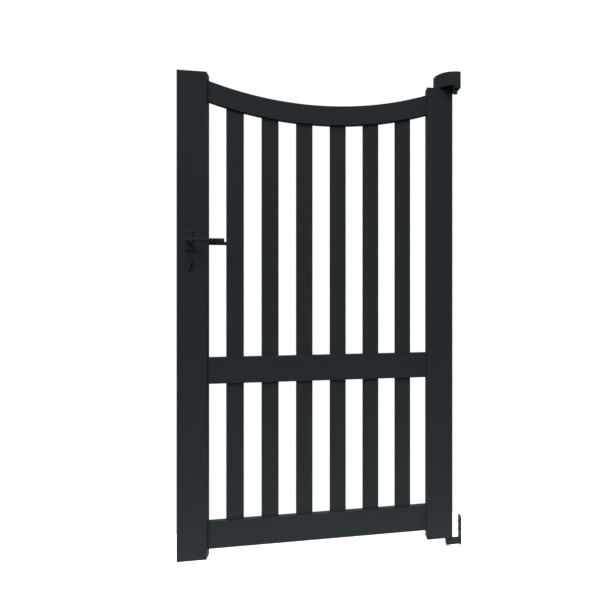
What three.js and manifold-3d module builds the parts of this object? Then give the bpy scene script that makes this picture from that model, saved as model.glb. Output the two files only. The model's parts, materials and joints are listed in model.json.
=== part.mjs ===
// A garden gate of powder-coated aluminium: one leaf that hangs on two pivot hinges.
//
// Frame, in millimetres: the pillar's face is the plane x = 0 and the leaf lies towards -x. The leaf's
// middle plane is y = 0, its front looks towards -y, and its lower edge is at z = 0.
import * as THREE from 'three';
import { mergeVertices } from 'three/addons/utils/BufferGeometryUtils.js';
import Module from 'manifold-3d';

const wasm = await Module();
wasm.setup();

// ---- driving dimensions ------------------------------------------------------------------------
const LEAF = { width: 920, height: 1600, pillarGap: 34 };
const STILE = { width: 92, depth: 40, wall: 2 };
const RAIL = { depth: 22, wall: 2, midBottom: 574, midTop: 661, lowBottom: 30, lowTop: 118 };
const SLAT = { count: 6, width: 55, depth: 12, wall: 1.5, setBack: 2.5, intoRail: 20 };
const BOW = { innerRadius: 1150, height: 65, lowestTop: 1515, steps: 72 };
const CAP = { plate: 3, plug: 12 };
const CLEAT = { length: 40, wall: 4 };
const PIVOT = {
  inset: 12, pinRadius: 5, bushRadius: 7.5, depth: 45, blockLength: 34,
  headRadius: 8, headHeight: 6.7, collar: 11,
};
const LOCK = { backset: 40, spindleHeight: 1045, cylinderBelow: 70, faceLow: 890, faceHigh: 1130 };
const FACE = { thickness: 3, halfWidth: 11, screwInset: 7 };
const CASE = { depth: 57, halfThickness: 7.5, low: 900, high: 1115, sheet: 1.5, flangeHalf: 9 };
const LATCH = {
  low: 1056, high: 1076, halfThickness: 5.5, headLength: 29, tailRadius: 2.5, tailLength: 20,
};
const SPRING = { wireRadius: 0.6, coilRadius: 4.2, turns: 6, steps: 84, endGap: 1.2 };
const BOLT = { low: 986, high: 1012, tailLow: 993, tailHalf: 4.5, headLength: 20, length: 54 };
const FOLLOWER = { radius: 9, half: 5.6, collarRadius: 7, collarHalf: 7.2, noseHalf: 3, noseReach: 15 };
const FACE_SCREW = { headRadius: 4.5, headDepth: 2.2, radius: 2.5, length: 12 };
const LEVER = {
  spindle: 7, thickness: 12, length: 121, reach: 52, neck: 24, hubRadius: 8, bend: 9, drop: 1, steps: 60,
};
const GRUB = { radius: 2.2, length: 4, setOut: 16 };
const ROSETTE = { width: 25, height: 68, thickness: 7, bevel: 4 };
const CYLINDER = {
  headRadius: 8.5, height: 33, webWidth: 10, halfLength: 30, plugRadius: 6.3, screwBelow: 20,
};
const KEYWAY = { half: 1.1, below: 4.5, above: 3.5, blindEnd: 4 };
const CAM = { halfThickness: 4.7, radius: 8, reach: 14.5, width: 8 };
const LOWER = { low: -31, high: 69, width: 30, sheet: 5, armLow: -29, armHigh: -12, armWidth: 20 };
const UPPER = { low: 1613, high: 1649, front: -6, back: 26, sheet: 5, arm: 8, armWidth: 24 };
const COVER = {
  low: 1602, high: 1650, length: 82, straight: 6, reach: 80, back: 25, right: -13, wall: 3, steps: 40,
};
const FOOT = { left: -38, front: -54.6, back: -25, low: 1594, high: 1612.7 };
const STUD = { x: -29, y: -38, radius: 4, nutRadius: 9.8, nutLow: 1577, tabHalf: 10, tabFront: 8 };
const WALL_SCREW = { radius: 4, hole: 4.3, headRadius: 6.5, headHeight: 5 };
const FIT = 0.3;            // clearance kept between pieces that touch
const ROUND = 32;           // sides of a round bar

// ---- places worked out from them -----------------------------------------------------------------
const leafRight = -LEAF.pillarGap;
const leafLeft = leafRight - LEAF.width;
const openingLeft = leafLeft + STILE.width;
const openingRight = leafRight - STILE.width;
const middle = (leafLeft + leafRight) / 2;
const slatGap = (openingRight - openingLeft - SLAT.count * SLAT.width) / (SLAT.count + 1);
const bowCentre = BOW.lowestTop + BOW.innerRadius;
const bowOuterRadius = BOW.innerRadius + BOW.height;
const pivotX = leafRight - PIVOT.inset;
const halfStile = STILE.depth / 2;
const halfRail = RAIL.depth / 2;
const lockX = leafLeft + LOCK.backset;
const cylinderZ = LOCK.spindleHeight - LOCK.cylinderBelow;
const latchZ = (LATCH.low + LATCH.high) / 2;
const faceScrewZ = [LOCK.faceLow + FACE.screwInset, LOCK.faceHigh - FACE.screwInset];
const webZ = cylinderZ - CYLINDER.screwBelow;
const caseFront = leafLeft + FACE.thickness + FIT;

// ---- materials -----------------------------------------------------------------------------------
function material(color, roughness, metalness) {
  return new THREE.MeshStandardMaterial({ color, roughness, metalness });
}


const paint = material('#2b3033', 0.55, 0.15);
const castPaint = material('#2e3336', 0.6, 0.15);
const aluminium = material('#a9adb0', 0.45, 0.9);
const steel = material('#8d9296', 0.35, 1);
const darkSteel = material('#33383b', 0.45, 0.8);
const brass = material('#b59a5a', 0.35, 1);

// ---- shapes --------------------------------------------------------------------------------------
function box(x0, x1, y0, y1, z0, z1) {
  const block = new THREE.BoxGeometry(x1 - x0, y1 - y0, z1 - z0);
  return block.translate((x0 + x1) / 2, (y0 + y1) / 2, (z0 + z1) / 2);
}

function rodX(radius, x0, x1, y, z, sides = ROUND) {
  const rod = new THREE.CylinderGeometry(radius, radius, x1 - x0, sides).rotateZ(-Math.PI / 2);
  return rod.translate((x0 + x1) / 2, y, z);
}

function rodY(radius, y0, y1, x, z, sides = ROUND) {
  return new THREE.CylinderGeometry(radius, radius, y1 - y0, sides).translate(x, (y0 + y1) / 2, z);
}

function rodZ(radius, z0, z1, x, y, sides = ROUND) {
  const rod = new THREE.CylinderGeometry(radius, radius, z1 - z0, sides).rotateX(Math.PI / 2);
  return rod.translate(x, y, (z0 + z1) / 2);
}

// An outline drawn in x and z, given thickness from y0 to y1.
function slabY(outline, y0, y1, curveSegments = 12) {
  const settings = { depth: y1 - y0, bevelEnabled: false, curveSegments };
  const slab = new THREE.ExtrudeGeometry(outline, settings);
  return slab.rotateX(Math.PI / 2).translate(0, y1, 0);
}

// An outline drawn in x and y, given thickness from z0 to z1.
function slabZ(outline, z0, z1, curveSegments = 12) {
  const settings = { depth: z1 - z0, bevelEnabled: false, curveSegments };
  const slab = new THREE.ExtrudeGeometry(outline, settings);
  return slab.translate(0, 0, z0);
}

function solid(geometry) {
  const bare = geometry.clone();
  bare.deleteAttribute('normal');
  bare.deleteAttribute('uv');
  const merged = mergeVertices(bare, 1e-4);
  const vertProperties = new Float32Array(merged.attributes.position.array);
  const triVerts = Uint32Array.from(merged.index.array);
  return new wasm.Manifold(new wasm.Mesh({ numProp: 3, vertProperties, triVerts }));
}

function surface(manifold) {
  const mesh = manifold.getMesh();
  const geometry = new THREE.BufferGeometry();
  const corners = new Float32Array(mesh.vertProperties);
  geometry.setAttribute('position', new THREE.BufferAttribute(corners, 3));
  geometry.setIndex(new THREE.BufferAttribute(Uint32Array.from(mesh.triVerts), 1));
  return geometry;
}

function cut(body, ...tools) {
  return surface(tools.reduce((rest, tool) => rest.subtract(solid(tool)), solid(body)));
}

function join(body, ...more) {
  return surface(more.reduce((sum, part) => sum.add(solid(part)), solid(body)));
}

function common(body, other) {
  return surface(solid(body).intersect(solid(other)));
}

// ---- the assembly --------------------------------------------------------------------------------
const gate = new THREE.Group();

function place(name, geometry, finish) {
  const mesh = new THREE.Mesh(geometry, finish);
  mesh.name = name;
  gate.add(mesh);
}

// ---- stiles, caps and pivots ---------------------------------------------------------------------
function stileTube(left) {
  const right = left + STILE.width;
  const low = CAP.plate + FIT;
  const high = LEAF.height - CAP.plate - FIT;
  const outside = box(left, right, -halfStile, halfStile, low, high);
  const t = STILE.wall;
  return cut(outside, box(left + t, right - t, -halfStile + t, halfStile - t, low - 1, high + 1));
}

function endCap(left, atTop, pivotHole) {
  const right = left + STILE.width;
  const inset = STILE.wall + FIT;
  const plateZ = atTop ? [LEAF.height - CAP.plate, LEAF.height] : [0, CAP.plate];
  const plugZ = atTop ? [plateZ[0] - CAP.plug, plateZ[0] + 1] : [CAP.plate - 1, CAP.plate + CAP.plug];
  const plate = box(left, right, -halfStile, halfStile, ...plateZ);
  const plug = box(left + inset, right - inset, -halfStile + inset, halfStile - inset, ...plugZ);
  const cap = join(plate, plug);
  if (!pivotHole) return cap;
  const reach = CAP.plate + CAP.plug;
  return cut(cap, rodZ(PIVOT.bushRadius + FIT, plateZ[0] - reach, plateZ[1] + reach, pivotX, 0));
}

function pivotBlock(z0, z1) {
  const right = leafRight - STILE.wall - FIT;
  const half = halfStile - STILE.wall - FIT;
  const block = box(right - PIVOT.blockLength, right, -half, half, z0, z1);
  return cut(block, rodZ(PIVOT.bushRadius + FIT, z0 - 1, z1 + 1, pivotX, 0));
}

function sleeve(outer, inner, z0, z1) {
  return cut(rodZ(outer, z0, z1, pivotX, 0), rodZ(inner, z0 - 1, z1 + 1, pivotX, 0));
}

const innerRadius = PIVOT.pinRadius + FIT;
const capDepth = CAP.plate + CAP.plug + FIT;
const topPivotLow = LEAF.height - PIVOT.depth;

place('hinge_stile', stileTube(leafRight - STILE.width), paint);
place('hinge_stile_top_cap', endCap(leafRight - STILE.width, true, true), paint);
place('hinge_stile_bottom_cap', endCap(leafRight - STILE.width, false, true), paint);
place('latch_stile_top_cap', endCap(leafLeft, true, false), paint);
place('latch_stile_bottom_cap', endCap(leafLeft, false, false), paint);
place('upper_pivot_block', pivotBlock(topPivotLow, LEAF.height - capDepth), aluminium);
place('lower_pivot_block', pivotBlock(capDepth, PIVOT.depth), aluminium);
place('upper_pivot_bush', sleeve(PIVOT.bushRadius, innerRadius, topPivotLow, LEAF.height - FIT), brass);
place('lower_pivot_bush', sleeve(PIVOT.bushRadius, innerRadius, FIT, PIVOT.depth), brass);

// ---- the lock's cylinder outline, also used as a cutter --------------------------------------------
function cylinderOutline(grow) {
  const headRadius = CYLINDER.headRadius + grow;
  const half = CYLINDER.webWidth / 2 + grow;
  const bottom = cylinderZ + CYLINDER.headRadius - CYLINDER.height;
  const foot = bottom + CYLINDER.webWidth / 2;
  const spread = Math.asin(half / headRadius);
  const outline = new THREE.Shape();
  outline.absarc(lockX, cylinderZ, headRadius, -Math.PI / 2 + spread, Math.PI * 1.5 - spread, false);
  outline.absarc(lockX, foot, half, Math.PI, Math.PI * 2, false);
  return outline;
}

const throughStile = (grow) => slabY(cylinderOutline(grow), -halfStile - 5, halfStile + 5, 16);

place('latch_stile', cut(
  stileTube(leafLeft),
  box(leafLeft - 1, leafLeft + STILE.wall + 1, -FACE.halfWidth - FIT, FACE.halfWidth + FIT,
    LOCK.faceLow - FIT, LOCK.faceHigh + FIT),
  rodY(LEVER.hubRadius + 1.5, -halfStile - 5, halfStile + 5, lockX, LOCK.spindleHeight),
  throughStile(FIT * 2),
), paint);

// ---- rails ---------------------------------------------------------------------------------------
const slatLeft = (i) => openingLeft + slatGap + i * (slatGap + SLAT.width);
const slatCentre = (i) => slatLeft(i) + SLAT.width / 2;
const bowUnderside = (x) => bowCentre - Math.sqrt(bowOuterRadius ** 2 - (x - middle) ** 2);

function slatSlot(i, z0, z1) {
  const gap = 0.4;
  const front = SLAT.setBack - SLAT.depth / 2 - gap;
  const back = front + SLAT.depth + gap * 2;
  return box(slatLeft(i) - gap, slatLeft(i) + SLAT.width + gap, front, back, z0, z1);
}

const everySlat = Array.from({ length: SLAT.count }, (_, i) => i);

function straightRail(z0, z1, slotWalls) {
  const t = RAIL.wall;
  const left = openingLeft + FIT;
  const right = openingRight - FIT;
  const tube = cut(
    box(left, right, -halfRail, halfRail, z0, z1),
    box(left - 1, right + 1, -halfRail + t, halfRail - t, z0 + t, z1 - t),
  );
  const slots = slotWalls.flatMap((z) => everySlat.map((i) => slatSlot(i, z - t - 1, z + t + 1)));
  return cut(tube, ...slots);
}

// A band between two arcs about the bow's centre, wide enough to cross both stiles.
function bowBand(radius0, radius1, halfDepth) {
  const half = Math.asin((LEAF.width / 2) / BOW.innerRadius);
  const outline = new THREE.Shape();
  outline.absarc(middle, bowCentre, radius1, -Math.PI / 2 - half, -Math.PI / 2 + half, false);
  outline.absarc(middle, bowCentre, radius0, -Math.PI / 2 + half, -Math.PI / 2 - half, true);
  return slabY(outline, -halfDepth, halfDepth, BOW.steps);
}

function bowRail() {
  const t = RAIL.wall;
  const outside = common(
    bowBand(BOW.innerRadius, bowOuterRadius, halfRail),
    box(openingLeft + FIT, openingRight - FIT, -halfStile, halfStile, BOW.lowestTop - 100, LEAF.height),
  );
  const slots = everySlat.map((i) => {
    const z = bowUnderside(slatCentre(i));
    return slatSlot(i, z - 12, z + SLAT.intoRail);
  });
  return cut(outside, bowBand(BOW.innerRadius + t, bowOuterRadius - t, halfRail - t), ...slots);
}

place('bow_top_rail', bowRail(), paint);
place('middle_rail', straightRail(RAIL.midBottom, RAIL.midTop, [RAIL.midBottom, RAIL.midTop]), paint);
place('bottom_rail', straightRail(RAIL.lowBottom, RAIL.lowTop, [RAIL.lowTop]), paint);

// ---- cleats that join each rail to its stile -------------------------------------------------------
const cleatEnds = [
  ['latch_side', openingLeft + FIT, openingLeft + FIT + CLEAT.length, 1],
  ['hinge_side', openingRight - FIT - CLEAT.length, openingRight - FIT, -1],
];

function straightCleat(x0, x1, direction, z0, z1) {
  const halfY = halfRail - RAIL.wall - FIT;
  const t = CLEAT.wall;
  const hollow0 = direction > 0 ? x0 + t : x0 - 1;
  const hollow1 = direction > 0 ? x1 + 1 : x1 - t;
  const block = box(x0, x1, -halfY, halfY, z0 + RAIL.wall + FIT, z1 - RAIL.wall - FIT);
  const hollow = box(hollow0, hollow1, -halfY + t, halfY - t, z0 + RAIL.wall + t, z1 - RAIL.wall - t);
  return cut(block, hollow);
}

for (const [side, x0, x1, direction] of cleatEnds) {
  const inset = RAIL.wall + FIT;
  const band = bowBand(BOW.innerRadius + inset, bowOuterRadius - inset, halfRail - inset);
  const stretch = box(x0, x1, -halfStile, halfStile, BOW.lowestTop - 100, LEAF.height);
  place(`bow_rail_cleat_${side}`, common(band, stretch), aluminium);
  const middleCleat = straightCleat(x0, x1, direction, RAIL.midBottom, RAIL.midTop);
  const bottomCleat = straightCleat(x0, x1, direction, RAIL.lowBottom, RAIL.lowTop);
  place(`middle_rail_cleat_${side}`, middleCleat, aluminium);
  place(`bottom_rail_cleat_${side}`, bottomCleat, aluminium);
}

// ---- slats ---------------------------------------------------------------------------------------
function slat(i) {
  const t = SLAT.wall;
  const left = slatLeft(i);
  const right = left + SLAT.width;
  const front = SLAT.setBack - SLAT.depth / 2;
  const back = front + SLAT.depth;
  const low = RAIL.lowBottom + RAIL.wall + 1;
  const high = bowUnderside(slatCentre(i)) + SLAT.intoRail - 2;
  return cut(
    box(left, right, front, back, low, high),
    box(left + t, right - t, front + t, back - t, low - 1, high + 1),
  );
}

for (const i of everySlat) place(`slat_${i + 1}`, slat(i), paint);

// ---- lock case, faceplate and bolts ----------------------------------------------------------------
const throughFace = (radius, z) => rodX(radius, leafLeft - 1, caseFront + 5, 0, z);

function faceOpening(z0, z1) {
  const half = LATCH.halfThickness + FIT;
  return box(leafLeft - 1, leafLeft + FACE.thickness + 1, -half, half, z0 - FIT, z1 + FIT);
}

place('lock_faceplate', cut(
  box(leafLeft, leafLeft + FACE.thickness, -FACE.halfWidth, FACE.halfWidth, LOCK.faceLow, LOCK.faceHigh),
  faceOpening(LATCH.low, LATCH.high),
  faceOpening(BOLT.low, BOLT.high),
  throughFace(FACE_SCREW.headRadius + FIT, faceScrewZ[0]),
  throughFace(FACE_SCREW.headRadius + FIT, faceScrewZ[1]),
  throughFace(FACE_SCREW.headRadius + FIT, webZ),
), steel);

function lockCase() {
  const back = caseFront + CASE.depth;
  const inside = CASE.halfThickness - CASE.sheet;
  const shell = box(caseFront, back, -CASE.halfThickness, CASE.halfThickness, CASE.low, CASE.high);
  const flange = box(caseFront, caseFront + FACE.thickness, -CASE.flangeHalf, CASE.flangeHalf,
    LOCK.faceLow + 1, LOCK.faceHigh - 1);
  const cavity = box(caseFront - 1, back - CASE.sheet, -inside, inside,
    CASE.low + CASE.sheet, CASE.high - CASE.sheet);
  const holes = faceScrewZ.map((z) => throughFace(FACE_SCREW.radius + FIT, z));
  return cut(
    join(shell, flange),
    cavity,
    rodY(FOLLOWER.collarRadius + FIT, -halfStile, halfStile, lockX, LOCK.spindleHeight),
    throughStile(FIT),
    ...holes,
  );
}

place('lock_case', lockCase(), steel);

const latchBack = leafLeft + LATCH.headLength;
place('latch_bolt', join(
  box(leafLeft + 0.1, latchBack, -LATCH.halfThickness, LATCH.halfThickness, LATCH.low, LATCH.high),
  rodX(LATCH.tailRadius, latchBack - 1, latchBack + LATCH.tailLength, 0, latchZ, 12),
), steel);

class SpringPath extends THREE.Curve {
  constructor(start, length, radius, turns) {
    super();
    Object.assign(this, { start, length, radius, turns });
  }

  getPoint(t, target = new THREE.Vector3()) {
    const angle = t * this.turns * Math.PI * 2;
    const y = this.radius * Math.cos(angle);
    return target.set(this.start + t * this.length, y, latchZ + this.radius * Math.sin(angle));
  }
}

function latchSpring() {
  const wire = new THREE.Shape();
  wire.absarc(0, 0, SPRING.wireRadius, 0, Math.PI * 2, false);
  const length = LATCH.tailLength - 4;
  const start = latchBack + SPRING.endGap;
  const extrudePath = new SpringPath(start, length, SPRING.coilRadius, SPRING.turns);
  return new THREE.ExtrudeGeometry(wire, { steps: SPRING.steps, curveSegments: 3, extrudePath });
}

place('latch_spring', latchSpring(), steel);

place('dead_bolt', join(
  box(leafLeft + 0.1, leafLeft + BOLT.headLength, -LATCH.halfThickness, LATCH.halfThickness,
    BOLT.low, BOLT.high),
  box(leafLeft + BOLT.headLength - 1, leafLeft + BOLT.length, -BOLT.tailHalf, BOLT.tailHalf,
    BOLT.tailLow, BOLT.high),
), steel);

function countersunkX(z, length) {
  return join(
    rodX(FACE_SCREW.headRadius, leafLeft, leafLeft + FACE_SCREW.headDepth, 0, z, 16),
    rodX(FACE_SCREW.radius, leafLeft + 2, leafLeft + length, 0, z, 12),
  );
}

place('faceplate_screw_lower', countersunkX(faceScrewZ[0], FACE_SCREW.length), steel);
place('faceplate_screw_upper', countersunkX(faceScrewZ[1], FACE_SCREW.length), steel);
place('cylinder_fixing_screw', countersunkX(webZ, LOCK.backset + 3), steel);

// ---- key cylinder --------------------------------------------------------------------------------
const plugStart = CAM.halfThickness + FIT * 2;
const plugEnd = CYLINDER.halfLength + 0.4;

place('cylinder_body', cut(
  slabY(cylinderOutline(0), -CYLINDER.halfLength, CYLINDER.halfLength, 16),
  rodY(CYLINDER.plugRadius + FIT, -CYLINDER.halfLength - 1, CYLINDER.halfLength + 1, lockX, cylinderZ),
  box(lockX - 12, lockX + 12, -CAM.halfThickness - FIT, CAM.halfThickness + FIT,
    cylinderZ - CAM.reach - FIT * 2, cylinderZ + 12),
  rodX(FACE_SCREW.radius + FIT, lockX - 10, lockX + 10, 0, webZ, 12),
), darkSteel);

function plug(y0, y1, slotY0, slotY1) {
  const keyway = box(lockX - KEYWAY.half, lockX + KEYWAY.half, slotY0, slotY1,
    cylinderZ - KEYWAY.below, cylinderZ + KEYWAY.above);
  return cut(rodY(CYLINDER.plugRadius, y0, y1, lockX, cylinderZ, 24), keyway);
}

place('front_plug', plug(-plugEnd, -plugStart, -plugEnd - 1, -plugStart - KEYWAY.blindEnd), darkSteel);
place('back_plug', plug(plugStart, plugEnd, plugStart + KEYWAY.blindEnd, plugEnd + 1), darkSteel);
place('cylinder_cam', join(
  rodY(CAM.radius, -CAM.halfThickness, CAM.halfThickness, lockX, cylinderZ, 24),
  box(lockX - CAM.width / 2, lockX + CAM.width / 2, -CAM.halfThickness, CAM.halfThickness,
    cylinderZ - CAM.reach, cylinderZ),
), steel);

// ---- spindle, follower, rosettes and levers --------------------------------------------------------
const spindleHalf = LEVER.spindle / 2;
const spindleEnd = halfStile + 22;

function square(half, y0, y1) {
  const z = LOCK.spindleHeight;
  return box(lockX - half, lockX + half, y0, y1, z - half, z + half);
}

place('spindle', square(spindleHalf, -spindleEnd, spindleEnd), steel);

place('lock_follower', cut(
  join(
    rodY(FOLLOWER.radius, -FOLLOWER.half, FOLLOWER.half, lockX, LOCK.spindleHeight),
    rodY(FOLLOWER.collarRadius, -FOLLOWER.collarHalf, FOLLOWER.collarHalf, lockX, LOCK.spindleHeight),
    box(lockX - FOLLOWER.noseHalf, lockX + FOLLOWER.noseHalf, -FOLLOWER.noseHalf, FOLLOWER.noseHalf,
      LOCK.spindleHeight, LOCK.spindleHeight + FOLLOWER.noseReach),
  ),
  square(spindleHalf + FIT, -10, 10),
), steel);

// side is -1 for the front and 1 for the back.
const outward = (side, a, b) => (side < 0 ? [-b, -a] : [a, b]);

function rosette(side) {
  const z = LOCK.spindleHeight;
  const halfWidth = ROSETTE.width / 2;
  const halfHeight = ROSETTE.height / 2;
  const start = halfStile + FIT;
  const end = start + ROSETTE.thickness;
  const outline = new THREE.Shape();
  outline.moveTo(lockX - halfWidth, z - halfHeight);
  outline.lineTo(lockX + halfWidth, z - halfHeight);
  outline.lineTo(lockX + halfWidth, z + halfHeight);
  outline.lineTo(lockX - halfWidth, z + halfHeight);
  // Both faces of the plate are chamfered, and the one towards the stile is then cut away.
  const plate = new THREE.ExtrudeGeometry(outline, {
    depth: ROSETTE.thickness - ROSETTE.bevel,
    bevelThickness: ROSETTE.bevel,
    bevelSize: ROSETTE.bevel,
    bevelOffset: -ROSETTE.bevel,
    bevelSegments: 1,
  });
  const middleY = side * (start + (ROSETTE.thickness - ROSETTE.bevel) / 2);
  plate.rotateX(Math.PI / 2).translate(0, middleY + (ROSETTE.thickness - ROSETTE.bevel) / 2, 0);
  const kept = box(leafLeft, openingLeft, ...outward(side, start, end), z - halfHeight, z + halfHeight);
  const hub = rodY(LEVER.hubRadius + 0.6, ...outward(side, start - 5, end + 5), lockX, z);
  return cut(common(plate, kept), hub);
}

// A bar with a flat top and a half-round underside that follows a path in the level plane z.
function gripBar(path, half, z, steps) {
  const section = new THREE.Shape();
  section.moveTo(-half, -half);
  section.absarc(0, 0, half, -Math.PI / 2, Math.PI / 2, false);
  section.lineTo(-half, half);
  const extrudePath = new THREE.CurvePath();
  path.forEach((piece) => extrudePath.add(piece));
  const bar = new THREE.ExtrudeGeometry(section, { steps, curveSegments: 12, extrudePath });
  return bar.translate(0, 0, z);
}

// The grip runs out from the hub, turns through a round corner and lies along the leaf.
function lever(side) {
  const z = LOCK.spindleHeight;
  const half = LEVER.thickness / 2;
  const neckStart = halfStile + LEVER.neck;
  const along = side * (halfStile + LEVER.reach - half);
  const level = (x, y) => new THREE.Vector3(x, y, 0);
  const corner = level(lockX, along);
  const turnStart = level(lockX, along - side * LEVER.bend);
  const turnEnd = level(lockX + LEVER.bend, along);
  const grip = gripBar([
    new THREE.LineCurve3(level(lockX, side * neckStart), turnStart),
    new THREE.QuadraticBezierCurve3(turnStart, corner, turnEnd),
    new THREE.LineCurve3(turnEnd, level(lockX - half + LEVER.length, along)),
  ], half, z - LEVER.drop, LEVER.steps);
  const hub = rodY(LEVER.hubRadius, ...outward(side, halfStile + 1, neckStart + 4), lockX, z);
  const socket = square(spindleHalf + FIT, ...outward(side, halfStile, spindleEnd + FIT));
  const grubHole = rodZ(GRUB.radius + FIT, z - 12, z, lockX, side * (halfStile + GRUB.setOut), 12);
  return cut(join(grip, hub), socket, grubHole);
}

function grubScrew(side) {
  const top = LOCK.spindleHeight - spindleHalf - FIT;
  return rodZ(GRUB.radius, top - GRUB.length, top, lockX, side * (halfStile + GRUB.setOut), 12);
}

for (const [name, side] of [['front', -1], ['back', 1]]) {
  place(`${name}_rosette`, rosette(side), castPaint);
  place(`${name}_lever`, lever(side), castPaint);
  place(`${name}_lever_grub_screw`, grubScrew(side), steel);
}

// ---- lower hinge: wall plate with its arm, pin, washer and screws ------------------------------------
const lowerScrewZ = [20, 50];
const hole = (y, z) => rodX(WALL_SCREW.hole, -20, 5, y, z);

place('lower_hinge_bracket', cut(
  join(
    box(-LOWER.sheet, 0, -LOWER.width / 2, LOWER.width / 2, LOWER.low, LOWER.high),
    box(pivotX - 8, -LOWER.sheet + 1, -LOWER.armWidth / 2, LOWER.armWidth / 2, LOWER.armLow, LOWER.armHigh),
  ),
  ...lowerScrewZ.map((z) => hole(0, z)),
  rodZ(innerRadius, LOWER.armLow - 1, LOWER.armHigh + 1, pivotX, 0),
), castPaint);

place('lower_pivot_pin', join(
  rodZ(PIVOT.pinRadius, LOWER.armLow - 2, PIVOT.depth - 2, pivotX, 0),
  rodZ(PIVOT.headRadius, LOWER.armLow - FIT - PIVOT.headHeight, LOWER.armLow - FIT, pivotX, 0, 6),
), steel);

place('thrust_collar', sleeve(PIVOT.collar, innerRadius, LOWER.armHigh + FIT, -FIT), darkSteel);

function wallScrew(sheet, y, z) {
  return join(
    rodX(WALL_SCREW.headRadius, -sheet - FIT - WALL_SCREW.headHeight, -sheet - FIT, y, z, 6),
    rodX(WALL_SCREW.radius, -sheet - 1, -FIT, y, z, 16),
  );
}

place('lower_wall_screw_1', wallScrew(LOWER.sheet, 0, lowerScrewZ[0]), steel);
place('lower_wall_screw_2', wallScrew(LOWER.sheet, 0, lowerScrewZ[1]), steel);

// ---- upper hinge: wall plate with its arm and tab, pin, cover, stud nut and screws --------------------
const upperScrewY = [0, 20];
const upperScrewZ = UPPER.high - 13;
const armTop = UPPER.low + UPPER.arm;

place('upper_hinge_bracket', cut(
  join(
    box(-UPPER.sheet, 0, UPPER.front, UPPER.back, UPPER.low, UPPER.high),
    box(pivotX - 9, -UPPER.sheet + 1, -UPPER.armWidth / 2, UPPER.armWidth / 2, UPPER.low, armTop),
    box(STUD.x - STUD.tabHalf, STUD.x + STUD.tabHalf, STUD.y - STUD.tabFront, 0, UPPER.low, armTop),
    rodZ(STUD.radius, STUD.nutLow + 6, UPPER.low + 2, STUD.x, STUD.y, 12),
  ),
  ...upperScrewY.map((y) => hole(y, upperScrewZ)),
  rodZ(innerRadius, UPPER.low - 1, armTop + 1, pivotX, 0),
), castPaint);

place('upper_pivot_pin', join(
  rodZ(PIVOT.pinRadius, topPivotLow + 2, armTop + 2, pivotX, 0),
  rodZ(PIVOT.headRadius, armTop + FIT, armTop + FIT + PIVOT.headHeight, pivotX, 0, 6),
), steel);

// The cover's plan: a straight back, a quarter ellipse round the leaf's corner and a short straight front.
function coverOutline(inset, right) {
  const centreX = COVER.right - COVER.straight;
  const lengthX = COVER.length - COVER.straight - inset;
  const reach = COVER.reach - inset;
  const start = Math.PI + Math.asin(inset / reach);
  const outline = new THREE.Shape();
  outline.moveTo(right, COVER.back - inset);
  for (let i = 0; i <= COVER.steps; i += 1) {
    const angle = start + ((Math.PI * 1.5 - start) * i) / COVER.steps;
    outline.lineTo(centreX + lengthX * Math.cos(angle), COVER.back + reach * Math.sin(angle));
  }
  outline.lineTo(right, COVER.back - reach);
  return outline;
}

function hingeCover() {
  const shell = cut(
    slabZ(coverOutline(0, COVER.right), COVER.low, COVER.high),
    slabZ(coverOutline(COVER.wall, COVER.right + 1), COVER.low - 1, COVER.high - COVER.wall),
  );
  const foot = box(FOOT.left, COVER.right, FOOT.front, FOOT.back, FOOT.low, FOOT.high);
  return cut(join(shell, foot), rodZ(STUD.radius + FIT, FOOT.low - 1, FOOT.high + 1, STUD.x, STUD.y, 12));
}

place('upper_hinge_cover', hingeCover(), castPaint);

const nutBore = rodZ(STUD.radius + FIT, STUD.nutLow + 5, FOOT.low + 1, STUD.x, STUD.y, 12);
place('cover_cap_nut', cut(
  rodZ(STUD.nutRadius, STUD.nutLow, FOOT.low - FIT, STUD.x, STUD.y, 6),
  nutBore,
), darkSteel);

place('upper_wall_screw_1', wallScrew(UPPER.sheet, upperScrewY[0], upperScrewZ), steel);
place('upper_wall_screw_2', wallScrew(UPPER.sheet, upperScrewY[1], upperScrewZ), steel);

export default gate;
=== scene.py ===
"""The finished look of the garden gate: softened aluminium profiles, cast levers, hinges and screws.

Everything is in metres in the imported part's own frame: the pillar's face is the plane x = 0, the leaf
lies towards -x, the front looks towards -y and z is up.
"""

import json
import math

import bmesh
import bpy
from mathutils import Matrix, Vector


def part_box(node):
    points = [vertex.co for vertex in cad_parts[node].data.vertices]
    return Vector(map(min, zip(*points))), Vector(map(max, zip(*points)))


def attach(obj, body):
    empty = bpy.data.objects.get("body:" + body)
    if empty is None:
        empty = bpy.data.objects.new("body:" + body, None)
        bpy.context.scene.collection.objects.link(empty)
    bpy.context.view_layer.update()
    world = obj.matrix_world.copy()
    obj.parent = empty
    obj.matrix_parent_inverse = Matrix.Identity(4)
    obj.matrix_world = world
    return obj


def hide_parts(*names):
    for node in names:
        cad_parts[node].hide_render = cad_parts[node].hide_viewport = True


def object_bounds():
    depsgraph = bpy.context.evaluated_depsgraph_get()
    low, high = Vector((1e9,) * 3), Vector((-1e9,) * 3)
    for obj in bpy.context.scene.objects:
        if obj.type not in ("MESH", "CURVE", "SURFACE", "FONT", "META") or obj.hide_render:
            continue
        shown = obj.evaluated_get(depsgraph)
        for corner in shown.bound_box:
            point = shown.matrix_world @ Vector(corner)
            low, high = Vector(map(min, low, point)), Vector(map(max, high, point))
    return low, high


MM = 0.001

# ---- camera -----------------------------------------------------------------------------------
CAMERA_PLACE = (-0.473591, -1.838967, 0.89193)
CAMERA_YAW = 0.1847
CAMERA_SENSOR = 36.0
CAMERA_LENS = 31.434
CAMERA_SHIFT = (-0.20833, -0.02068)

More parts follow.
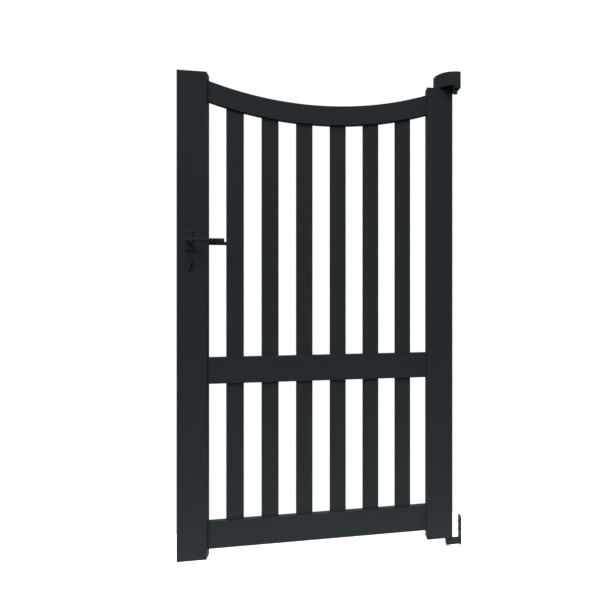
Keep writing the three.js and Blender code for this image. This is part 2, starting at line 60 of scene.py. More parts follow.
# ---- surroundings -----------------------------------------------------------------------------
FLOOR_DROP = 0.10
FLOOR_SIZE = (1.9, 1.0)
WINDOW_HEIGHT_ANGLE = math.radians(50)
WINDOW_SIDE_ANGLE = math.radians(20)
WINDOW_SPREAD = math.radians(42)
WINDOW_STRENGTH = 1.7
BACK_WINDOW_STRENGTH = 0.5
SKY_STRENGTH = 1.25
HORIZON_STRENGTH = 0.14
SKY_FULL_HEIGHT = 0.9
SEEN_WHITE = 1.02
FLOOR_GLOW = 0.30

# ---- softened edges ---------------------------------------------------------------------------
PROFILE_EDGE = 1.0 * MM
SLAT_EDGE = 1.2 * MM
CAP_EDGE = 0.7 * MM
BRACKET_EDGE = 0.9 * MM
COVER_EDGE = 1.2 * MM
SMALL_EDGE = 0.4 * MM
PLUG_EDGE = 0.3 * MM
SAME_POINT = 0.002 * MM
FLAT_ANGLE = math.radians(0.15)
SHARP_ANGLE = math.radians(28)
SHORT_EDGE = 25 * MM
SHORT_EDGE_SHARE = 0.4
SHADING_WEIGHT = 80

# ---- the leaf's rails -------------------------------------------------------------------------
BOW_RADIUS = 1.150
BOW_LOWEST_TOP = 1.515
BOW_HEIGHT = 0.065
BOW_STEPS = 160
RAIL_INTO_STILE = 8 * MM
SLAT_INTO_BOW = 18 * MM

# ---- levers -----------------------------------------------------------------------------------
LEVER_SIDES = 32
GRIP_RADIUS = 6 * MM
HUB_RADIUS = 8 * MM
LEVER_BEND = 9 * MM
BEND_STEPS = 12
GRUB_HOLE = 2.5 * MM
GRUB_HOLE_EXTRA = 4 * MM
GRIP_DROP = 1 * MM
ROUND_POWER = 2
FLAT_POWER = 6
LEVER_SHARP_ANGLE = math.radians(40)
# Millimetres from the tip, and the share of the grip's radius there.
TIP_ROUNDING = ((60, 0.985), (25, 1.0), (1.6, 1.0), (1.0, 0.975), (0.45, 0.92), (0.1, 0.84), (0.0, 0.78))
# Millimetres from the rosette, the share of the hub's radius and the share of the grip's drop there.
LEVER_NECK = (
    (0.0, 0.93, 0.0),
    (0.6, 1.0, 0.0),
    (22.5, 1.0, 0.0),
    (24.0, 0.95, 0.0),
    (25.2, 0.86, 0.5),
    (26.6, 0.77, 1.0),
    (28.5, 0.75, 1.0),
)


# ---- helpers ----------------------------------------------------------------------------------


def link(piece):
    bpy.context.scene.collection.objects.link(piece)
    return piece


def new_object(name, mesh):
    return link(bpy.data.objects.new(name, mesh))


def baked(piece):
    """Turns a piece's modifiers into plain mesh and takes them off."""
    bpy.context.view_layer.update()
    graph = bpy.context.evaluated_depsgraph_get()
    mesh = bpy.data.meshes.new_from_object(piece.evaluated_get(graph), depsgraph=graph)
    piece.modifiers.clear()
    piece.data = mesh
    return piece


def shade_flats_flat(piece):
    """Keeps flat faces flat and lets the narrow rounded edges between them turn the light."""
    piece.data.polygons.foreach_set("use_smooth", [True] * len(piece.data.polygons))
    shading = piece.modifiers.new("shading", "WEIGHTED_NORMAL")
    shading.weight = SHADING_WEIGHT
    shading.keep_sharp = True


def hand_over(piece, body, slot, nodes):
    """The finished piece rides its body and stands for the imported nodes."""
    piece.data.materials.clear()
    piece.data.materials.append(finishes[slot])
    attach(piece, body)
    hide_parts(*nodes)
    return piece


def make_camera():
    data = bpy.data.cameras.new("view")
    data.sensor_width = CAMERA_SENSOR
    data.lens = CAMERA_LENS
    data.shift_x, data.shift_y = CAMERA_SHIFT
    camera = link(bpy.data.objects.new("view", data))
    camera.location = CAMERA_PLACE
    camera.rotation_euler = (math.pi / 2, 0.0, -CAMERA_YAW)
    bpy.context.scene.camera = camera


# ---- finishes ---------------------------------------------------------------------------------


class Finish:
    """A material's node tree, with short ways to add what these finishes need."""

    def __init__(self, name):
        self.material = bpy.data.materials.new(name)
        self.material.use_nodes = True
        self.nodes = self.material.node_tree.nodes
        self.links = self.material.node_tree.links
        self.shader = self.nodes["Principled BSDF"]
        self.place = self.nodes.new("ShaderNodeTexCoord").outputs["Object"]

    def stretched(self, scale):
        mapping = self.nodes.new("ShaderNodeMapping")
        mapping.inputs["Scale"].default_value = scale
        self.links.new(self.place, mapping.inputs["Vector"])
        return mapping.outputs["Vector"]

    def noise(self, scale, detail=2.0, roughness=0.5, where=None):
        node = self.nodes.new("ShaderNodeTexNoise")
        node.inputs["Scale"].default_value = scale
        node.inputs["Detail"].default_value = detail
        node.inputs["Roughness"].default_value = roughness
        self.links.new(where or self.place, node.inputs["Vector"])
        return node.outputs["Fac"]

    def spread(self, value, low, high, start=0.3, end=0.7):
        node = self.nodes.new("ShaderNodeMapRange")
        node.inputs["From Min"].default_value = start
        node.inputs["From Max"].default_value = end
        node.inputs["To Min"].default_value = low
        node.inputs["To Max"].default_value = high
        self.links.new(value, node.inputs["Value"])
        return node.outputs["Result"]

    def times(self, first, second):
        node = self.nodes.new("ShaderNodeMath")
        node.operation = "MULTIPLY"
        self.links.new(first, node.inputs[0])
        self.links.new(second, node.inputs[1])
        return node.outputs["Value"]

    def between(self, factor, first, second):
        node = self.nodes.new("ShaderNodeMix")
        node.data_type = "RGBA"
        self.links.new(factor, node.inputs["Factor"])
        for socket, colour in ((node.inputs[6], first), (node.inputs[7], second)):
            if isinstance(colour, tuple):
                socket.default_value = (*colour, 1.0)
            else:
                self.links.new(colour, socket)
        return node.outputs[2]

    def upward(self, start, end):
        """1 on faces that look up and 0 on upright ones."""
        normal = self.nodes.new("ShaderNodeNewGeometry").outputs["Normal"]
        parts = self.nodes.new("ShaderNodeSeparateXYZ")
        self.links.new(normal, parts.inputs["Vector"])
        return self.spread(parts.outputs["Z"], 0.0, 1.0, start, end)

    def relief(self, height, strength, distance):
        bump = self.nodes.new("ShaderNodeBump")
        bump.inputs["Strength"].default_value = strength
        bump.inputs["Distance"].default_value = distance
        self.links.new(height, bump.inputs["Height"])
        self.links.new(bump.outputs["Normal"], self.shader.inputs["Normal"])

    def colour(self, value):
        self.links.new(value, self.shader.inputs["Base Color"])

    def gloss(self, value):
        self.links.new(value, self.shader.inputs["Roughness"])


ANTHRACITE = (0.0219, 0.0273, 0.0305)
ANTHRACITE_DEEP = (0.0210, 0.0262, 0.0293)
ANTHRACITE_GRAIN = (0.0268, 0.0326, 0.0360)
DUST = (0.085, 0.083, 0.078)
BLACKENED = (0.0240, 0.0288, 0.0319)
BLACKENED_DEEP = (0.0185, 0.0226, 0.0252)
ZINC, WORN_ZINC = (0.50, 0.51, 0.52), (0.40, 0.41, 0.41)
ALUMINIUM, WORN_ALUMINIUM = (0.66, 0.67, 0.68), (0.58, 0.59, 0.60)
BRASS, WORN_BRASS = (0.62, 0.46, 0.20), (0.50, 0.36, 0.15)


def powder_coat(name, grain, rough, depth, dust):
    """Baked powder paint: fine grain, a drift of tone over a hand's breadth and dust on its upper faces."""
    finish = Finish(name)
    drift = finish.spread(finish.noise(6.0, detail=3.0), 0.0, 1.0)
    tone = finish.between(drift, ANTHRACITE_DEEP, ANTHRACITE)
    peel = finish.noise(grain, detail=3.0, roughness=0.65)
    speck = finish.spread(peel, 0.0, 0.55, 0.55, 0.75)
    tone = finish.between(speck, tone, ANTHRACITE_GRAIN)
    lying = finish.times(finish.upward(0.5, 0.95), finish.spread(finish.noise(45.0, detail=4.0), 0.3, 1.0))
    settled = finish.spread(lying, 0.0, dust, 0.0, 1.0)
    finish.colour(finish.between(settled, tone, DUST))
    finish.gloss(finish.spread(peel, rough - 0.06, rough + 0.06))
    finish.relief(peel, 0.3, depth)
    finish.shader.inputs["Specular IOR Level"].default_value = 0.06
    return finish.material


def bare_metal(name, colour, worn, rough, scratches):
    """Bare or plated metal: patches of duller shine and fine scratches along one way."""
    finish = Finish(name)
    patches = finish.noise(70.0, detail=4.0)
    finish.colour(finish.between(finish.spread(patches, 0.0, 1.0), colour, worn))
    finish.shader.inputs["Metallic"].default_value = 1.0
    lines = finish.noise(400.0, detail=2.0, where=finish.stretched(scratches))
    finish.gloss(finish.spread(patches, rough - 0.06, rough + 0.12))
    finish.relief(lines, 0.2, 0.05 * MM)
    return finish.material


def blackened(name):
    """Blackened steel with a dry, slightly uneven film."""
    finish = Finish(name)
    patches = finish.noise(90.0, detail=4.0)
    finish.colour(finish.between(finish.spread(patches, 0.0, 1.0), BLACKENED_DEEP, BLACKENED))
    finish.shader.inputs["Specular IOR Level"].default_value = 0.08
    finish.gloss(finish.spread(patches, 0.46, 0.60))
    finish.relief(finish.noise(1200.0), 0.25, 0.04 * MM)
    return finish.material


def make_finishes():
    return {
        "leaf_paint": powder_coat("leaf_powder_coat", 1400.0, 0.55, 0.06 * MM, 0.12),
        "hinge_paint": powder_coat("hinge_powder_coat", 1100.0, 0.50, 0.07 * MM, 0.10),
        "lever_paint": powder_coat("lever_powder_coat", 1900.0, 0.42, 0.03 * MM, 0.08),
        "blackened_metal": blackened("blackened_steel"),
        "zinc_steel": bare_metal("zinc_plated_steel", ZINC, WORN_ZINC, 0.34, (1, 1, 0.1)),
        "mill_aluminium": bare_metal("mill_aluminium", ALUMINIUM, WORN_ALUMINIUM, 0.42, (0.08, 1, 1)),
        "bush_brass": bare_metal("turned_brass", BRASS, WORN_BRASS, 0.30, (1, 1, 0.05)),
    }


# ---- pieces made by Geometry Nodes --------------------------------------------------------------


class Recipe:
    """A Geometry Nodes tree with named sizes, and the values that this gate gives them."""

    def __init__(self, name):
        self.group = bpy.data.node_groups.new(name, "GeometryNodeTree")
        self.group.interface.new_socket("Geometry", in_out="OUTPUT", socket_type="NodeSocketGeometry")
        self.start = self.group.nodes.new("NodeGroupInput")
        self.values = {}

    def size(self, name, value, kind="NodeSocketFloat"):
        socket = self.group.interface.new_socket(name, in_out="INPUT", socket_type=kind)
        self.values[socket.identifier] = value
        return next(out for out in self.start.outputs if out.identifier == socket.identifier)

    def add(self, kind, inputs=None, **settings):
        node = self.group.nodes.new(kind)
        for key, value in settings.items():
            setattr(node, key, value)
        for key, value in (inputs or {}).items():
            self.feed(node.inputs[key], value)
        return node

    def feed(self, socket, value):
        if isinstance(value, bpy.types.Node):
            value = value.outputs[0]
        if isinstance(value, bpy.types.NodeSocket):
            self.group.links.new(value, socket)
        else:
            socket.default_value = value

    def maths(self, operation, first, second=0.0):
        return self.add("ShaderNodeMath", {0: first, 1: second}, operation=operation)

    def vector(self, x=0.0, y=0.0, z=0.0):
        return self.add("ShaderNodeCombineXYZ", {"X": x, "Y": y, "Z": z})

    def section(self, width, height, corner):
        """A rectangle with rounded corners, to be drawn along a path."""
        outline = self.add("GeometryNodeCurvePrimitiveQuadrilateral", {"Width": width, "Height": height})
        return self.add(
            "GeometryNodeFilletCurve", {"Curve": outline, "Count": 4, "Radius": corner}, mode="POLY"
        )

    def sweep(self, path, section):
        return self.add(
            "GeometryNodeCurveToMesh", {"Curve": path, "Profile Curve": section, "Fill Caps": True}
        )

    def moved(self, geometry, place=(0, 0, 0), turn=(0, 0, 0)):
        return self.add(
            "GeometryNodeTransform", {"Geometry": geometry, "Translation": place, "Rotation": turn}
        )

    def joined(self, *geometries):
        node = self.group.nodes.new("GeometryNodeJoinGeometry")
        for geometry in geometries:
            self.feed(node.inputs[0], geometry)
        return node

    def make(self, name, geometry, finish):
        """Realizes the geometry, gives it its finish and returns it as a plain mesh object."""
        material = self.size("Finish", finish, "NodeSocketMaterial")
        real = self.add("GeometryNodeRealizeInstances", {0: geometry})
        smooth = self.add("GeometryNodeSetShadeSmooth", {0: real})
        coated = self.add("GeometryNodeSetMaterial", {"Geometry": smooth, "Material": material})
        end = self.group.nodes.new("NodeGroupOutput")
        self.feed(end.inputs["Geometry"], coated)
        piece = new_object(name, bpy.data.meshes.new(name))
        modifier = piece.modifiers.new("recipe", "NODES")
        modifier.node_group = self.group
        for identifier, value in self.values.items():
            modifier[identifier] = value
        shading = piece.modifiers.new("shading", "WEIGHTED_NORMAL")
        shading.weight = SHADING_WEIGHT
        return baked(piece)


def make_straight_rail(node):
    """A straight rail whose ends run a little way into the stiles."""
    low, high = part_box(node)
    recipe = Recipe(node + "_recipe")
    height = recipe.size("Rail Height", high.z - low.z)
    depth = recipe.size("Rail Depth", high.y - low.y)
    corner = recipe.size("Corner Radius", PROFILE_EDGE)
    level = (low.z + high.z) / 2
    left = recipe.size("Latch End", (low.x - RAIL_INTO_STILE, 0.0, level), "NodeSocketVector")
    right = recipe.size("Hinge End", (high.x + RAIL_INTO_STILE, 0.0, level), "NodeSocketVector")
    path = recipe.add("GeometryNodeCurvePrimitiveLine", {"Start": left, "End": right})
    rail = recipe.sweep(path, recipe.section(depth, height, corner))
    piece = recipe.make(node + "_profile", rail, finishes["leaf_paint"])
    hand_over(piece, "leaf", "leaf_paint", [node])


def make_bow_rail():
    """The top rail, bent to an arc that hangs between the stiles."""
    low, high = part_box("bow_top_rail")
    middle_radius = BOW_RADIUS + BOW_HEIGHT / 2
    half_angle = math.asin(((high.x - low.x) / 2 + RAIL_INTO_STILE) / BOW_RADIUS)
    recipe = Recipe("bow_rail_recipe")
    radius = recipe.size("Bow Radius", middle_radius)
    start = recipe.size("Start Angle", -math.pi / 2 - half_angle)
    sweep = recipe.size("Sweep Angle", half_angle * 2)
    height = recipe.size("Rail Height", BOW_HEIGHT)
    depth = recipe.size("Rail Depth", high.y - low.y)
    corner = recipe.size("Corner Radius", PROFILE_EDGE)
    steps = recipe.size("Steps", BOW_STEPS, "NodeSocketInt")
    hub = ((low.x + high.x) / 2, 0.0, BOW_LOWEST_TOP + BOW_RADIUS)
    centre = recipe.size("Bow Centre", hub, "NodeSocketVector")
    arc = recipe.add(
        "GeometryNodeCurveArc",
        {"Resolution": steps, "Radius": radius, "Start Angle": start, "Sweep Angle": sweep},
        mode="RADIUS",
    )
    upright = recipe.moved(arc, centre, (math.pi / 2, 0.0, 0.0))
    rail = recipe.sweep(upright, recipe.section(depth, height, corner))
    piece = recipe.make("bow_top_rail_profile", rail, finishes["leaf_paint"])
    hand_over(piece, "leaf", "leaf_paint", ["bow_top_rail"])


def make_slats():
    """Evenly spaced flat slats, each as long as the bow above it allows."""
    names = sorted(node for node in frame["nodes"] if node.startswith("slat_"))
    low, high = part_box(names[0])
    pitch_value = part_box(names[1])[0].x - low.x
    bow_low, bow_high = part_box("bow_top_rail")
    recipe = Recipe("slat_recipe")
    count = recipe.size("Slat Count", len(names), "NodeSocketInt")
    foot = ((low.x + high.x) / 2, (low.y + high.y) / 2, low.z)
    first = recipe.size("First Foot", foot, "NodeSocketVector")
    pitch = recipe.size("Slat Pitch", pitch_value)
    width = recipe.size("Slat Width", high.x - low.x)
    depth = recipe.size("Slat Depth", high.y - low.y)
    corner = recipe.size("Corner Radius", SLAT_EDGE)
    bow_middle = recipe.size("Bow Middle", (bow_low.x + bow_high.x) / 2)
    bow_centre = recipe.size("Bow Centre Height", BOW_LOWEST_TOP + BOW_RADIUS)
    bow_radius = recipe.size("Bow Outer Radius", BOW_RADIUS + BOW_HEIGHT)
    into_bow = recipe.size("Into Bow", SLAT_INTO_BOW)
    feet = recipe.add(
        "GeometryNodeMeshLine",
        {"Count": count, "Start Location": first, "Offset": recipe.vector(x=pitch)},
        mode="OFFSET",
    )
    place = recipe.add("ShaderNodeSeparateXYZ", {"Vector": recipe.add("GeometryNodeInputPosition")})
    aside = recipe.maths("SUBTRACT", place.outputs["X"], bow_middle)
    rise_squared = recipe.maths(
        "SUBTRACT", recipe.maths("MULTIPLY", bow_radius, bow_radius), recipe.maths("MULTIPLY", aside, aside)
    )
    underside = recipe.maths("SUBTRACT", bow_centre, recipe.maths("SQRT", rise_squared))
    top = recipe.maths("ADD", underside, into_bow)
    length = recipe.maths("SUBTRACT", top, place.outputs["Z"])
    path = recipe.add("GeometryNodeCurvePrimitiveLine", {"Start": (0, 0, 0), "End": (0, 0, 1)})
    bar = recipe.sweep(path, recipe.section(width, depth, corner))
    slats = recipe.add(
        "GeometryNodeInstanceOnPoints",
        {"Points": feet, "Instance": bar, "Scale": recipe.vector(1.0, 1.0, length)},
    )
    piece = recipe.make("slats", slats, finishes["leaf_paint"])
    hand_over(piece, "leaf", "leaf_paint", names)


def cylinder_along_x(recipe, sides, radius, length, x):
    """A rod that starts at x and runs towards +x."""
    rod = recipe.add("GeometryNodeMeshCylinder", {"Vertices": sides, "Radius": radius, "Depth": length})
    middle = recipe.maths("ADD", x, recipe.maths("MULTIPLY", length, 0.5))
    return recipe.moved(rod, recipe.vector(x=middle), (0.0, math.pi / 2, 0.0))


def make_wall_screws():
    """Hexagon screws with washers that hold both hinges to the pillar."""
    lower = [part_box(f"lower_wall_screw_{i}") for i in (1, 2)]
    upper = [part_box(f"upper_wall_screw_{i}") for i in (1, 2)]
    low, high = lower[0]
    recipe = Recipe("wall_screw_recipe")
    head_radius = recipe.size("Head Radius", (high.z - low.z) / 2)
    head_height = recipe.size("Head Height", 3.4 * MM)
    chamfer = recipe.size("Chamfer", 0.6 * MM)
    washer_radius = recipe.size("Washer Radius", 6.4 * MM)
    washer_height = recipe.size("Washer Thickness", 1.0 * MM)
    shank_radius = recipe.size("Shank Radius", 4 * MM)
    shank_length = recipe.size("Shank Length", 5 * MM)
    head = cylinder_along_x(recipe, 6, head_radius, head_height, chamfer)
    crown = recipe.add(
        "GeometryNodeMeshCone",
        {
            "Vertices": 24,
            "Radius Top": recipe.maths("MULTIPLY", head_radius, 0.72),
            "Radius Bottom": recipe.maths("MULTIPLY", head_radius, 0.86),
            "Depth": chamfer,
        },
    )
    crown = recipe.moved(crown, recipe.vector(x=chamfer), (0.0, -math.pi / 2, 0.0))
    under_head = recipe.maths("ADD", chamfer, head_height)
    washer = cylinder_along_x(recipe, 28, washer_radius, washer_height, under_head)
    under_washer = recipe.maths("ADD", under_head, washer_height)
    shank = cylinder_along_x(recipe, 16, shank_radius, shank_length, under_washer)
    screw = recipe.joined(head, crown, washer, shank)
    rows = []
    for name, (first, second) in (("Lower", lower), ("Upper", upper)):
        heads = [Vector((a.x, (a.y + b.y) / 2, (a.z + b.z) / 2)) for a, b in (first, second)]
        start = recipe.size(name + " First Head", tuple(heads[0]), "NodeSocketVector")
        step = recipe.size(name + " Spacing", tuple(heads[1] - heads[0]), "NodeSocketVector")
        rows.append(
            recipe.add(
                "GeometryNodeMeshLine", {"Count": 2, "Start Location": start, "Offset": step}, mode="OFFSET"
            )
        )
    screws = recipe.add("GeometryNodeInstanceOnPoints", {"Points": recipe.joined(*rows), "Instance": screw})
    piece = recipe.make("wall_screws", screws, finishes["zinc_steel"])
    nodes = [f"{row}_wall_screw_{i}" for row in ("lower", "upper") for i in (1, 2)]
    hand_over(piece, "pillar_side", "zinc_steel", nodes)


def make_faceplate_screws():
    """Countersunk screws with a cross recess, down the lock's faceplate."""
    nodes = ["faceplate_screw_lower", "cylinder_fixing_screw", "faceplate_screw_upper"]
    boxes = [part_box(node) for node in nodes]
    low, high = boxes[0]
    recipe = Recipe("faceplate_screw_recipe")
    radius = recipe.size("Head Radius", (high.z - low.z) / 2)
    height = recipe.size("Head Height", 2 * MM)
    shank_radius = recipe.size("Shank Radius", 2.4 * MM)
    shank_length = recipe.size("Shank Length", 9 * MM)
    arm = recipe.size("Recess Length", 4.6 * MM)
    blade = recipe.size("Recess Width", 0.9 * MM)
    head = cylinder_along_x(recipe, 32, radius, height, 0.05 * MM)
    upright = recipe.add("GeometryNodeMeshCube", {"Size": recipe.vector(2.4 * MM, blade, arm)})
    level = recipe.add("GeometryNodeMeshCube", {"Size": recipe.vector(2.4 * MM, arm, blade)})
    cutter = recipe.joined(upright, level)
    recessed = recipe.add(
        "GeometryNodeMeshBoolean", {"Mesh 1": head, "Mesh 2": cutter}, operation="DIFFERENCE"
    )
    shank = cylinder_along_x(recipe, 14, shank_radius, shank_length, height)
    screw = recipe.joined(recessed, shank)
    rows = []
    for name, (a, b) in zip(("Lower", "Cylinder", "Upper"), boxes):
        head_face = (a.x, (a.y + b.y) / 2, (a.z + b.z) / 2)
        place = recipe.size(name + " Head", head_face, "NodeSocketVector")
        rows.append(
            recipe.add("GeometryNodeMeshLine", {"Count": 1, "Start Location": place}, mode="OFFSET")
        )
    screws = recipe.add("GeometryNodeInstanceOnPoints", {"Points": recipe.joined(*rows), "Instance": screw})
    piece = recipe.make("faceplate_screws", screws, finishes["zinc_steel"])
    hand_over(piece, "leaf", "zinc_steel", nodes)


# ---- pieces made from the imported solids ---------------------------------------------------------


def merged_copy(node):
    """A node's mesh with its corners shared, its flat faces whole and its edges marked for rounding."""
    mesh = frame["nodes"][node].data.copy()
    mesh.materials.clear()
    shape = bmesh.new()
    shape.from_mesh(mesh)
    bmesh.ops.remove_doubles(shape, verts=shape.verts, dist=SAME_POINT)
    bmesh.ops.dissolve_limit(shape, angle_limit=FLAT_ANGLE, verts=shape.verts, edges=shape.edges)
    weight = shape.edges.layers.float.new("bevel_weight_edge")
    for edge in shape.edges:
        if len(edge.link_faces) == 2 and edge.calc_face_angle() > SHARP_ANGLE:
            edge[weight] = 1.0 if edge.calc_length() > SHORT_EDGE else SHORT_EDGE_SHARE
    shape.to_mesh(mesh)
    shape.free()
    return mesh


def soften(piece, edge, limit="WEIGHT"):
    """Rounds a piece's sharp edges and gives its flats and curves clean shading."""
    rounding = piece.modifiers.new("rounding", "BEVEL")
    rounding.width = edge
    rounding.segments = 3
    rounding.limit_method = limit
    rounding.angle_limit = SHARP_ANGLE
    rounding.miter_outer = "MITER_ARC"
    rounding.use_clamp_overlap = True
    shade_flats_flat(piece)
    return baked(piece)


def make_softened(node, edge, limit="WEIGHT"):
    piece = new_object(node + "_finished", merged_copy(node))
    soften(piece, edge, limit)
    return hand_over(piece, bodies[node], slots[node], [node])


SOFTENED = {
    "hinge_stile": PROFILE_EDGE,
    "latch_stile": PROFILE_EDGE,
    "hinge_stile_top_cap": CAP_EDGE,
    "hinge_stile_bottom_cap": CAP_EDGE,
    "latch_stile_top_cap": CAP_EDGE,
    "latch_stile_bottom_cap": CAP_EDGE,
}
SOFTENED_EVENLY = {
    "lower_hinge_bracket": BRACKET_EDGE,
    "upper_hinge_bracket": BRACKET_EDGE,
    "upper_hinge_cover": COVER_EDGE,
    "cover_cap_nut": BRACKET_EDGE,
    "thrust_collar": SMALL_EDGE,
    "front_rosette": SMALL_EDGE,
    "back_rosette": SMALL_EDGE,
    "cylinder_body": SMALL_EDGE,
    "front_plug": PLUG_EDGE,
    "back_plug": PLUG_EDGE,
    "lock_faceplate": SMALL_EDGE,
    "latch_bolt": SMALL_EDGE,
    "dead_bolt": SMALL_EDGE,
}


# ---- levers ---------------------------------------------------------------------------------------


def lever_stations(side):
    """Centre, heading, radius and flatness of the rings, from the hub's foot to the tip of the grip."""
    low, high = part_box("front_lever" if side < 0 else "back_lever")
    spindle_low, spindle_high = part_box("spindle")
    axis_x = (spindle_low.x + spindle_high.x) / 2
    axis_z = (spindle_low.z + spindle_high.z) / 2
    grip_z = axis_z - GRIP_DROP
    foot = min(abs(low.y), abs(high.y))
    outermost = max(abs(low.y), abs(high.y)) - GRIP_RADIUS
    out = Vector((0, side, 0))
    along = Vector((1, 0, 0))
    stations = []
    for reach, share, drop in LEVER_NECK:
        place = Vector((axis_x, side * (foot + reach * MM), axis_z - drop * GRIP_DROP))
        stations.append((place, out, HUB_RADIUS * share, math.floor(drop)))
    bend_start = outermost - LEVER_BEND
    for i in range(BEND_STEPS + 1):
        angle = math.pi / 2 * i / BEND_STEPS
        x = axis_x + LEVER_BEND * (1 - math.cos(angle))
        y = bend_start + LEVER_BEND * math.sin(angle)
        heading = out * math.cos(angle) + along * math.sin(angle)
        stations.append((Vector((x, side * y, grip_z)), heading, GRIP_RADIUS, 1))
    tip = high.x
    for before_tip, share in TIP_ROUNDING:
        place = Vector((tip - before_tip * MM, side * outermost, grip_z))
        stations.append((place, along, GRIP_RADIUS * share, 1))
    return stations, axis_x, axis_z


def grip_outline(angle, flatness):
    """A circle at flatness 0, and at 1 a bar with a nearly flat top and a round underside."""
    a, b = math.cos(angle), math.sin(angle)
    if b <= 0 or flatness == 0:
        return a, b
    power = ROUND_POWER + (FLAT_POWER - ROUND_POWER) * flatness
    reach = (abs(a) ** power + abs(b) ** power) ** (-1 / power)
    return a * reach, b * reach


def make_lever(side):
    """A cast lever: a round hub that narrows into a flat-topped grip with a softly turned corner."""
    name = "front_lever" if side < 0 else "back_lever"
    stations, axis_x, axis_z = lever_stations(side)
    shape = bmesh.new()
    up = Vector((0, 0, 1))
    rings = []
    for centre, heading, radius, flatness in stations:
        across = heading.cross(up).normalized()
        ring = []
        for i in range(LEVER_SIDES):
            a, b = grip_outline(2 * math.pi * i / LEVER_SIDES, flatness)
            ring.append(shape.verts.new(centre + (across * a + up * b) * radius))
        rings.append(ring)
    for ring, following in zip(rings, rings[1:]):
        for i in range(LEVER_SIDES):
            j = (i + 1) % LEVER_SIDES
            shape.faces.new((ring[i], ring[j], following[j], following[i]))
    shape.faces.new(rings[0])
    shape.faces.new(rings[-1])
    bmesh.ops.recalc_face_normals(shape, faces=shape.faces)
    mesh = bpy.data.meshes.new(name + "_cast")
    shape.to_mesh(mesh)
    shape.free()
    piece = new_object(name + "_cast", mesh)
    drill = grub_drill(name, axis_x, axis_z)
    hole = piece.modifiers.new("grub_hole", "BOOLEAN")
    hole.operation = "DIFFERENCE"
    hole.solver = "EXACT"
    hole.object = drill
    baked(piece)
    bpy.data.objects.remove(drill)
    piece.data.polygons.foreach_set("use_smooth", [True] * len(piece.data.polygons))
    piece.data.set_sharp_from_angle(angle=LEVER_SHARP_ANGLE)
    hand_over(piece, "lever_set", "lever_paint", [name])


def grub_drill(name, axis_x, axis_z):
    """The hole for the grub screw, from below the hub."""
    low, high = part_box(name + "_grub_screw")
    depth = high.z - low.z + GRUB_HOLE_EXTRA
    shape = bmesh.new()
    bmesh.ops.create_cone(
        shape, cap_ends=True, segments=20, radius1=GRUB_HOLE, radius2=GRUB_HOLE, depth=depth
    )
    middle = Vector((axis_x, (low.y + high.y) / 2, (high.z + low.z - GRUB_HOLE_EXTRA) / 2))
    bmesh.ops.translate(shape, verts=shape.verts, vec=middle)
    mesh = bpy.data.meshes.new(name + "_drill")
    shape.to_mesh(mesh)
    shape.free()
    return new_object(name + "_drill", mesh)


# ---- floor, light and background ------------------------------------------------------------------


def make_floor():
    """A plain pale board under the gate."""
    half_x, half_y = FLOOR_SIZE[0] / 2, FLOOR_SIZE[1] / 2
    centre = (cad_box[0] + cad_box[1]) / 2
    height = cad_box[0].z - FLOOR_DROP
    turns = ((-1, -1), (1, -1), (1, 1), (-1, 1))
    corners = [(centre.x + half_x * a, centre.y + half_y * b, height) for a, b in turns]
    mesh = bpy.data.meshes.new("floor")
    mesh.from_pydata(corners, [], [(0, 1, 2, 3)])
    floor = new_object("floor", mesh)
    finish = Finish("pale_floor")
    finish.shader.inputs["Base Color"].default_value = (0.93, 0.93, 0.93, 1.0)
    finish.shader.inputs["Roughness"].default_value = 0.9
    finish.shader.inputs["Specular IOR Level"].default_value = 0.1
    finish.shader.inputs["Emission Color"].default_value = (1.0, 1.0, 1.0, 1.0)
    finish.shader.inputs["Emission Strength"].default_value = FLOOR_GLOW
    floor.data.materials.append(finish.material)


def make_window(name, strength, side_angle):
    """Wide soft light from above, from the side angle given, which is 0 straight in front."""
    light = bpy.data.lights.new(name, "SUN")
    light.energy = strength
    light.angle = WINDOW_SPREAD
    lamp = link(bpy.data.objects.new(name, light))
    level = math.cos(WINDOW_HEIGHT_ANGLE)
    across, forward = math.sin(side_angle), math.cos(side_angle)
    source = Vector((-across * level, -forward * level, math.sin(WINDOW_HEIGHT_ANGLE)))
    lamp.rotation_mode = "QUATERNION"
    lamp.rotation_quaternion = source.to_track_quat("Z", "Y")


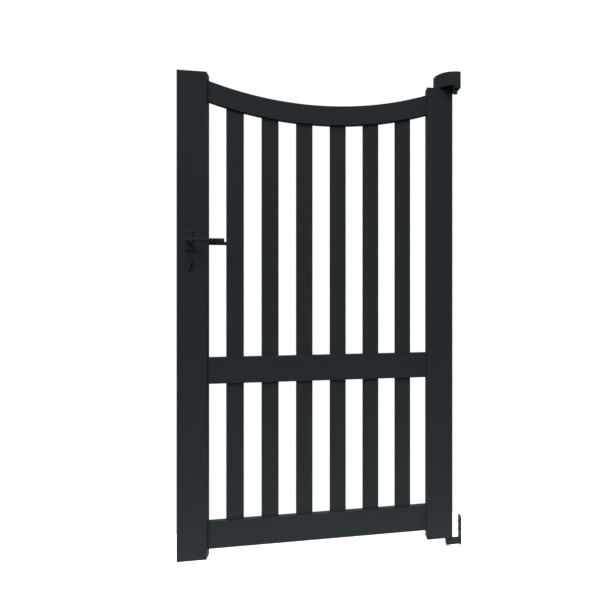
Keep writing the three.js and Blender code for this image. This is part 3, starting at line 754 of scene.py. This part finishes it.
def make_room():
    """White to the eye all round, and lit by a sky that is bright overhead and dim at the horizon."""
    world = bpy.data.worlds.new("room")
    world.use_nodes = True
    nodes, links = world.node_tree.nodes, world.node_tree.links
    lit = nodes["Background"]
    lit.inputs["Color"].default_value = (1.0, 1.0, 1.0, 1.0)
    way = nodes.new("ShaderNodeTexCoord").outputs["Generated"]
    parts = nodes.new("ShaderNodeSeparateXYZ")
    links.new(way, parts.inputs["Vector"])
    climb = nodes.new("ShaderNodeMapRange")
    climb.interpolation_type = "SMOOTHSTEP"
    climb.inputs["From Min"].default_value = 0.0
    climb.inputs["From Max"].default_value = SKY_FULL_HEIGHT
    climb.inputs["To Min"].default_value = HORIZON_STRENGTH
    climb.inputs["To Max"].default_value = SKY_STRENGTH
    links.new(parts.outputs["Z"], climb.inputs["Value"])
    links.new(climb.outputs["Result"], lit.inputs["Strength"])
    seen = nodes.new("ShaderNodeBackground")
    seen.inputs["Color"].default_value = (1.0, 1.0, 1.0, 1.0)
    seen.inputs["Strength"].default_value = SEEN_WHITE
    path = nodes.new("ShaderNodeLightPath")
    choose = nodes.new("ShaderNodeMixShader")
    links.new(path.outputs["Is Camera Ray"], choose.inputs["Fac"])
    links.new(lit.outputs["Background"], choose.inputs[1])
    links.new(seen.outputs["Background"], choose.inputs[2])
    links.new(choose.outputs["Shader"], nodes["World Output"].inputs["Surface"])
    bpy.context.scene.world = world


# ---- the scene --------------------------------------------------------------------------------------

make_camera()
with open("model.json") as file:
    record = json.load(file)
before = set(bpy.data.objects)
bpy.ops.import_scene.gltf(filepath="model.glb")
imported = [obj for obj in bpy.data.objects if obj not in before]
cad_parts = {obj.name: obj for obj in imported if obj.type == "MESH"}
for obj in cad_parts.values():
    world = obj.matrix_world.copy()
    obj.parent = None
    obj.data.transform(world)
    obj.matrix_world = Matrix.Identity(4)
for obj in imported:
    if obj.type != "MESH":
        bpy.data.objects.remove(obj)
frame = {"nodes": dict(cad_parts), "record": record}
cad_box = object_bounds()
finishes = make_finishes()
slots = {part["node"]: part["material_slot"] for part in frame["record"]["subparts"]}
bodies = {
    node: body for body, nodes in frame["record"]["behaviour"]["bodies"].items() for node in nodes
}

for node, thing in frame["nodes"].items():
    thing.data.materials.clear()
    thing.data.materials.append(finishes[slots[node]])

make_bow_rail()
make_straight_rail("middle_rail")
make_straight_rail("bottom_rail")
make_slats()
for node, edge in SOFTENED.items():
    make_softened(node, edge)
for node, edge in SOFTENED_EVENLY.items():
    make_softened(node, edge, "ANGLE")
make_lever(-1)
make_lever(1)
make_wall_screws()
make_faceplate_screws()

make_floor()
make_window("window", WINDOW_STRENGTH, WINDOW_SIDE_ANGLE)
make_window("back_window", BACK_WINDOW_STRENGTH, math.pi - WINDOW_SIDE_ANGLE)
make_room()
bpy.context.scene.view_settings.view_transform = "Standard"
